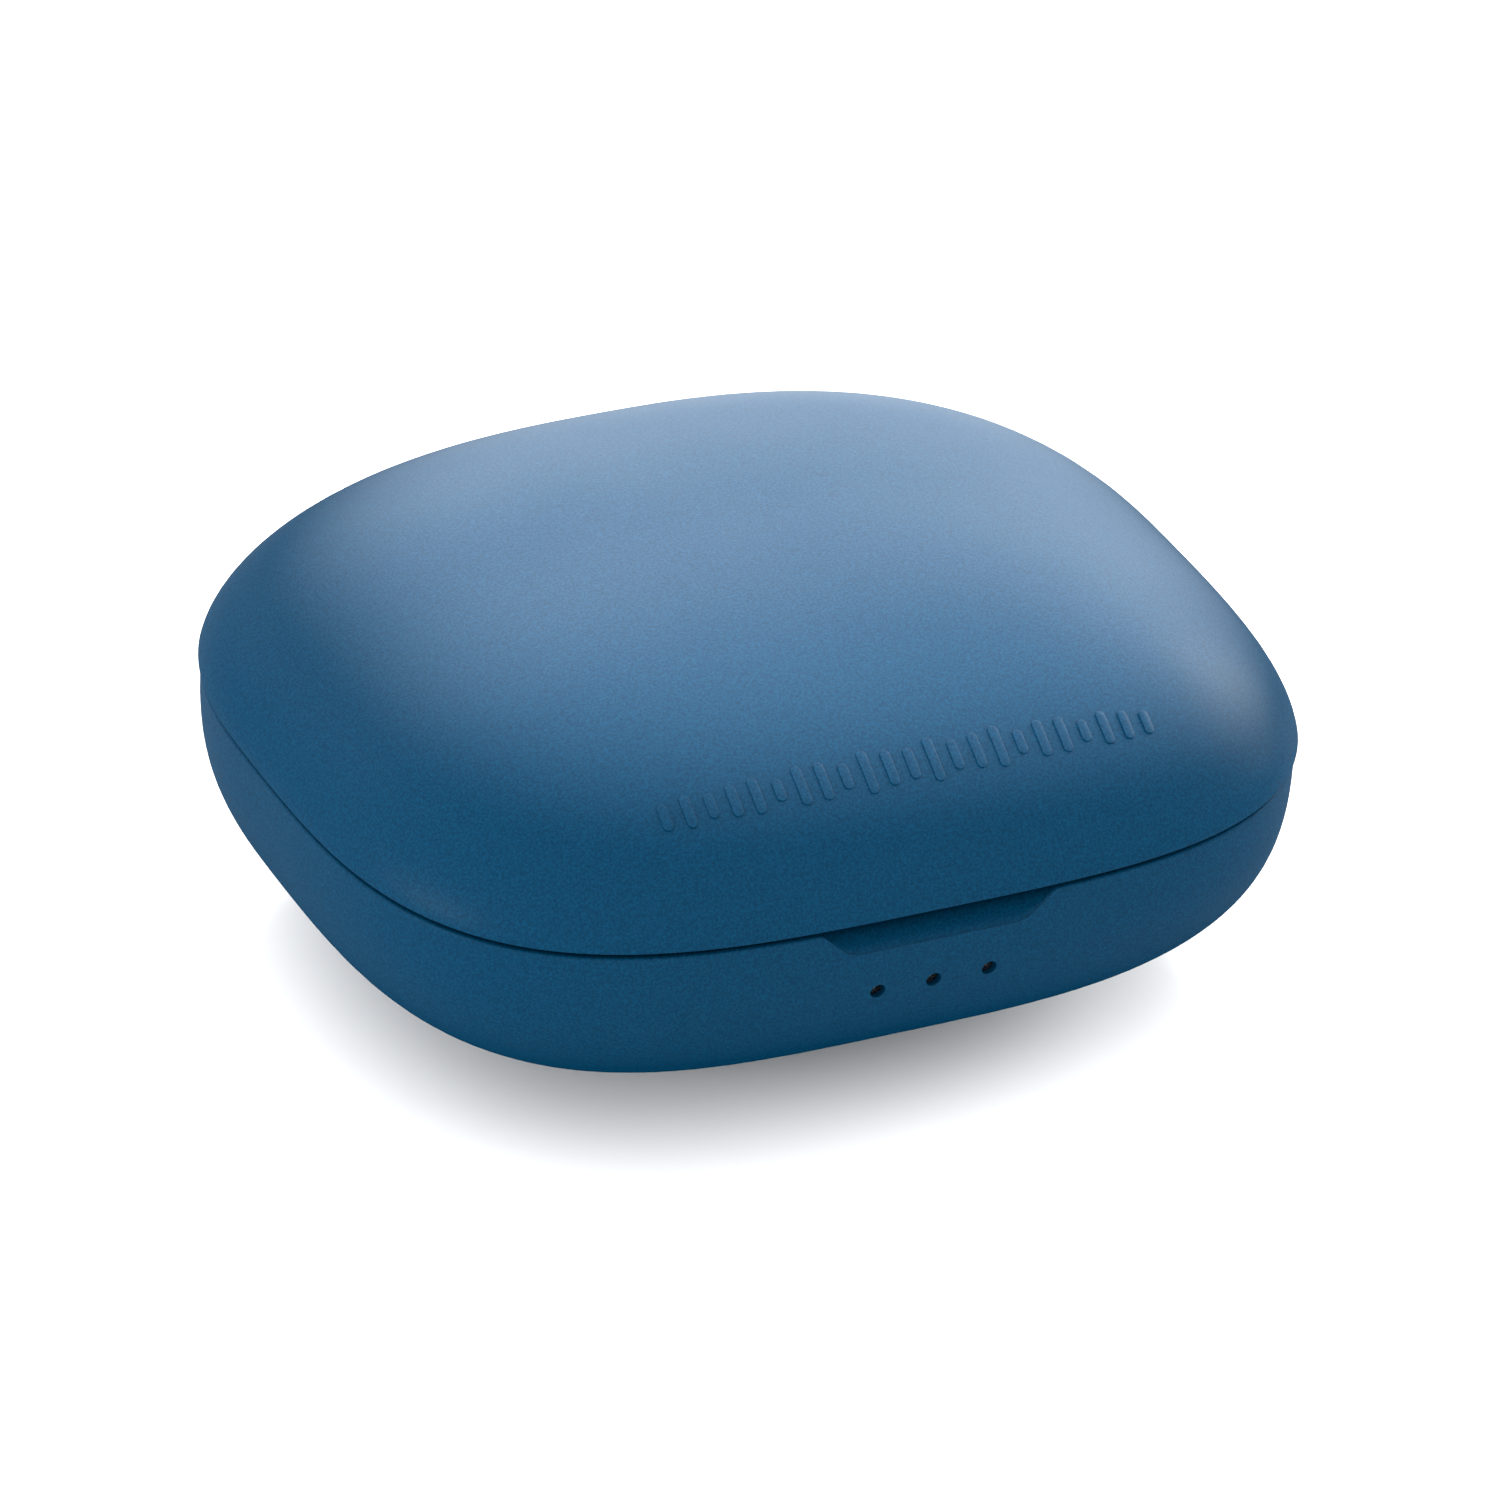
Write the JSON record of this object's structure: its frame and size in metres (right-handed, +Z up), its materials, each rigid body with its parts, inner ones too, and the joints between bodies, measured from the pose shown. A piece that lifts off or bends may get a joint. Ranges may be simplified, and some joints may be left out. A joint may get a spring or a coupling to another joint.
{
  "type": "wireless earbuds case",
  "caption": "Pebble-shaped clamshell case with a hinged lid, two open wells, a rechargeable battery and a rear charging port.",
  "frame": {"origin": "centre of the bounding box's underside, where the case rests", "axes": "+X to the right and along the longest side, +Y to the hinge at the back, +Z up through the lid"},
  "size_m": [0.0638, 0.0562, 0.0282],
  "materials": {
    "shell_blue": "satin, very fine grain",
    "tray_blue": "fine matte",
    "clear_plastic": "frosted clear",
    "black_plastic": "moulded",
    "white_plastic": "moulded",
    "steel": "bright",
    "gold": "gold plated",
    "magnet_nickel": "nickel plated",
    "board_green": "solder mask",
    "ribbon_amber": "polyimide film",
    "battery_foil": "satin foil",
    "foam_grey": "soft foam",
    "lead_red": "insulated wire",
    "ferrite": "ferrite"
  },
  "bodies": {
    "base": {"base_shell": "shell_blue", "base_tray": "tray_blue", "light_guide": "clear_plastic", "usb_c_tongue": "black_plastic", "pin_block_left": "black_plastic", "pin_block_right": "black_plastic", "charge_controller": "black_plastic", "microcontroller": "black_plastic", "hall_sensor": "black_plastic", "battery_connector": "white_plastic", "indicator_leds": "white_plastic", "hinge_pin": "steel", "hinge_spring": "steel", "board_screws": "steel", "usb_c_shell": "steel", "pin_barrels_left": "gold", "pin_barrels_right": "gold", "charge_spring_left_inner": "gold", "charge_spring_left_outer": "gold", "charge_spring_right_inner": "gold", "charge_spring_right_outer": "gold", "base_magnet_left": "magnet_nickel", "base_magnet_right": "magnet_nickel", "earbud_magnet_left": "magnet_nickel", "earbud_magnet_right": "magnet_nickel", "main_board": "board_green", "indicator_board": "board_green", "indicator_ribbon": "ribbon_amber", "charge_ribbon_left": "ribbon_amber", "charge_ribbon_right": "ribbon_amber", "battery": "battery_foil", "battery_foam": "foam_grey", "battery_leads": "lead_red", "boost_inductor": "ferrite"},
    "lid": {"lid_shell": "shell_blue", "lid_liner": "tray_blue", "hinge_spine": "shell_blue", "hinge_screws": "steel", "lid_magnet_left": "magnet_nickel", "lid_magnet_right": "magnet_nickel", "hall_magnet": "magnet_nickel"},
    "charge_pin_left_inner": {"charge_pin_left_inner": "gold"},
    "charge_pin_left_outer": {"charge_pin_left_outer": "gold"},
    "charge_pin_right_inner": {"charge_pin_right_inner": "gold"},
    "charge_pin_right_outer": {"charge_pin_right_outer": "gold"}
  },
  "joints": [
    {"name": "lid_hinge", "type": "hinge", "parent": "base", "child": "lid", "pos_m": [0, 0.02655, 0.0166], "axis": [-1, 0, 0], "range_deg": [0, 95]},
    {"name": "charge_pin_left_inner_press", "type": "slide", "parent": "base", "child": "charge_pin_left_inner", "axis": [0, 0, -1], "range_m": [0, 0.0007], "stiffness_N_per_m": 400, "springref_m": -0.0003, "deforming": ["charge_spring_left_inner"]},
    {"name": "charge_pin_left_outer_press", "type": "slide", "parent": "base", "child": "charge_pin_left_outer", "axis": [0, 0, -1], "range_m": [0, 0.0007], "stiffness_N_per_m": 400, "springref_m": -0.0003, "deforming": ["charge_spring_left_outer"]},
    {"name": "charge_pin_right_inner_press", "type": "slide", "parent": "base", "child": "charge_pin_right_inner", "axis": [0, 0, -1], "range_m": [0, 0.0007], "stiffness_N_per_m": 400, "springref_m": -0.0003, "deforming": ["charge_spring_right_inner"]},
    {"name": "charge_pin_right_outer_press", "type": "slide", "parent": "base", "child": "charge_pin_right_outer", "axis": [0, 0, -1], "range_m": [0, 0.0007], "stiffness_N_per_m": 400, "springref_m": -0.0003, "deforming": ["charge_spring_right_outer"]}
  ]
}
